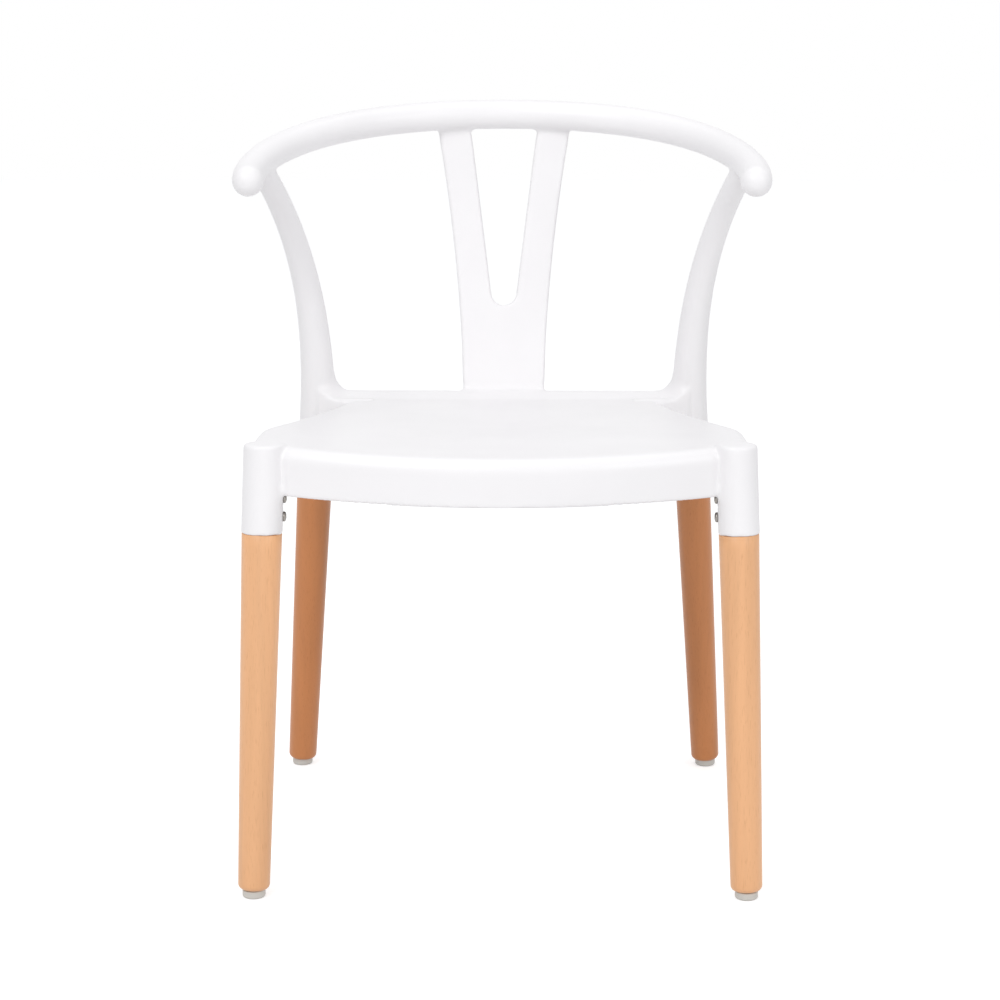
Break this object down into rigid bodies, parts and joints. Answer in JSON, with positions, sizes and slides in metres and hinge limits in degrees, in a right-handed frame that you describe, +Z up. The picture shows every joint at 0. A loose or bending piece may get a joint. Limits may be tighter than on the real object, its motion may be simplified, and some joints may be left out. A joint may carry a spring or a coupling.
{
  "type": "dining chair",
  "caption": "Stacking-style dining chair: one-piece moulded plastic seat, posts, curved top rail and slotted back splat on tapered round wooden legs.",
  "frame": {"origin": "on the floor under the middle of the chair's box", "axes": "+Z is up, the sitter faces -Y, and +X is the right-hand side of the picture"},
  "size_m": [0.5469, 0.501, 0.76],
  "materials": {
    "shell_plastic": "satin moulded polypropylene, white",
    "front_leg_wood": "turned beech, clear matt lacquer",
    "rear_leg_wood": "turned beech, clear matt lacquer",
    "glide_plastic": "off-white moulded polyethylene",
    "bolt_zinc": "zinc-plated steel",
    "insert_brass": "plain turned",
    "nail_steel": "bright drawn wire"
  },
  "bodies": {
    "root": {"moulded_shell": "shell_plastic", "front_right_leg": "front_leg_wood", "front_right_glide": "glide_plastic", "front_right_glide_nail": "nail_steel", "front_left_leg": "front_leg_wood", "front_left_glide": "glide_plastic", "front_left_glide_nail": "nail_steel", "front_lower_bolts": "bolt_zinc", "front_lower_inserts": "insert_brass", "front_upper_bolts": "bolt_zinc", "front_upper_inserts": "insert_brass", "rear_right_leg": "rear_leg_wood", "rear_right_glide": "glide_plastic", "rear_right_glide_nail": "nail_steel", "rear_left_leg": "rear_leg_wood", "rear_left_glide": "glide_plastic", "rear_left_glide_nail": "nail_steel", "rear_lower_bolts": "bolt_zinc", "rear_lower_inserts": "insert_brass", "rear_upper_bolts": "bolt_zinc", "rear_upper_inserts": "insert_brass"}
  },
  "joints": []
}
